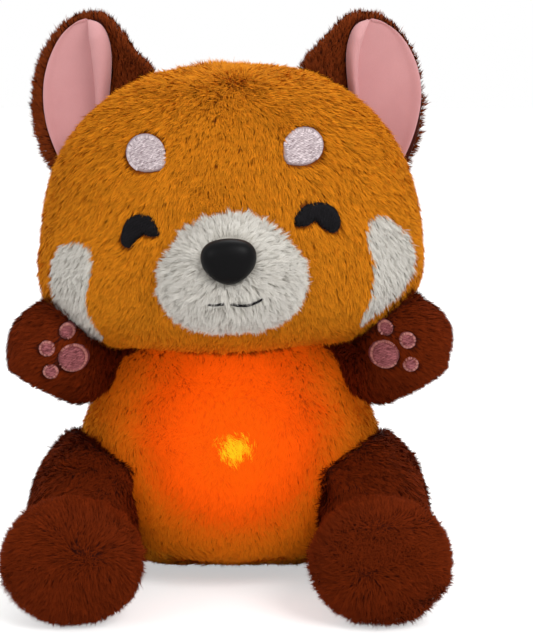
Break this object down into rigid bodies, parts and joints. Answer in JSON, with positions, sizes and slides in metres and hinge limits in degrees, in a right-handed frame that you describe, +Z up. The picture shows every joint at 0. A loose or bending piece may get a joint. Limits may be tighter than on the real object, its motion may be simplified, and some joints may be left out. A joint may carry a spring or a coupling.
{
  "type": "plush night light",
  "caption": "Sitting stuffed animal whose belly is lit from inside by a battery lamp, switched by a button under a flap in its back.",
  "frame": {"origin": "on the floor plane under the middle of the torso, on the torso's flat underside", "axes": "+Z up, -Y the way the face and belly look, +X the toy's own left side"},
  "size_m": [0.2238, 0.258, 0.2942],
  "materials": {
    "orange_plush": "short dense plush pile",
    "brown_plush": "longer fluffy plush pile",
    "white_plush": "fluffy plush pile",
    "pink_lining": "short velvet",
    "pad_thread": "satin embroidery",
    "white_thread": "satin embroidery",
    "black_thread": "satin embroidery",
    "nose_plastic": "satin moulded",
    "white_plastic": "fine moulded grain",
    "diffuser_plastic": "milky translucent",
    "board_resin": "solder resist",
    "amber_light": "clear amber",
    "black_plastic": "moulded",
    "cell_jacket": "shrink sleeve",
    "steel": "nickel plated",
    "tape_nylon": "hook and loop",
    "lead_jacket": "soft vinyl"
  },
  "bodies": {
    "torso": {"torso": "orange_plush", "closure_loop_tape": "tape_nylon", "battery_case": "white_plastic", "case_cover": "white_plastic", "cover_screw_1": "steel", "cover_screw_2": "steel", "battery_door": "white_plastic", "door_screw": "steel", "battery_cell_1": "cell_jacket", "battery_cell_2": "cell_jacket", "battery_cell_3": "cell_jacket", "contact_plate_low_1": "steel", "contact_plate_low_2": "steel", "contact_plate_top_1": "steel", "contact_plate_top_2": "steel", "switch_board": "board_resin", "tact_switch": "black_plastic", "lamp_base": "white_plastic", "lamp_board": "board_resin", "led": "amber_light", "lamp_diffuser": "diffuser_plastic", "lamp_lead": "lead_jacket"},
    "head": {"head": "orange_plush", "muzzle": "white_plush", "nose": "nose_plastic", "nose_washer": "white_plastic", "mouth": "black_thread", "left_eye": "black_thread", "right_eye": "black_thread", "left_brow": "white_thread", "right_brow": "white_thread", "left_cheek": "white_plush", "right_cheek": "white_plush", "left_ear": "brown_plush", "right_ear": "brown_plush", "left_ear_lining": "pink_lining", "right_ear_lining": "pink_lining"},
    "left_arm": {"left_arm": "brown_plush", "left_palm_pad": "pad_thread", "left_toe_1_pad": "pad_thread", "left_toe_2_pad": "pad_thread", "left_toe_3_pad": "pad_thread"},
    "right_arm": {"right_arm": "brown_plush", "right_palm_pad": "pad_thread", "right_toe_1_pad": "pad_thread", "right_toe_2_pad": "pad_thread", "right_toe_3_pad": "pad_thread"},
    "left_leg": {"left_leg": "brown_plush", "left_foot": "brown_plush"},
    "right_leg": {"right_leg": "brown_plush", "right_foot": "brown_plush"},
    "tail": {"tail_band_1": "brown_plush", "tail_band_2": "orange_plush", "tail_band_3": "brown_plush", "tail_band_4": "orange_plush", "tail_band_5": "brown_plush"},
    "flap": {"back_flap": "orange_plush", "closure_hook_tape": "tape_nylon"},
    "button": {"light_button": "amber_light"}
  },
  "joints": [
    {"name": "head_nod", "type": "hinge", "parent": "torso", "child": "head", "pos_m": [0.004, -0.005, 0.116], "axis": [1, 0, 0], "range_deg": [-8, 4]},
    {"name": "left_arm_drop", "type": "hinge", "parent": "torso", "child": "left_arm", "pos_m": [0.046, -0.014, 0.109], "axis": [0, 1, 0], "range_deg": [0, 15]},
    {"name": "right_arm_drop", "type": "hinge", "parent": "torso", "child": "right_arm", "pos_m": [-0.046, -0.014, 0.109], "axis": [0, -1, 0], "range_deg": [0, 15]},
    {"name": "left_leg_spread", "type": "hinge", "parent": "torso", "child": "left_leg", "pos_m": [0.062, 0, 0.044], "axis": [0, 0, 1], "range_deg": [0, 15]},
    {"name": "right_leg_spread", "type": "hinge", "parent": "torso", "child": "right_leg", "pos_m": [-0.062, 0, 0.044], "axis": [0, 0, -1], "range_deg": [0, 15]},
    {"name": "tail_wag", "type": "hinge", "parent": "torso", "child": "tail", "pos_m": [0, 0.05, 0.0175], "axis": [0, 0, 1], "range_deg": [-18, 18]},
    {"name": "flap_open", "type": "hinge", "parent": "torso", "child": "flap", "pos_m": [0, 0.03753, 0.1005], "axis": [1, 0, 0], "range_deg": [0, 80]},
    {"name": "button_press", "type": "slide", "parent": "torso", "child": "button", "axis": [0, -1, 0], "range_m": [0, 0.001], "stiffness_N_per_m": 1000}
  ]
}
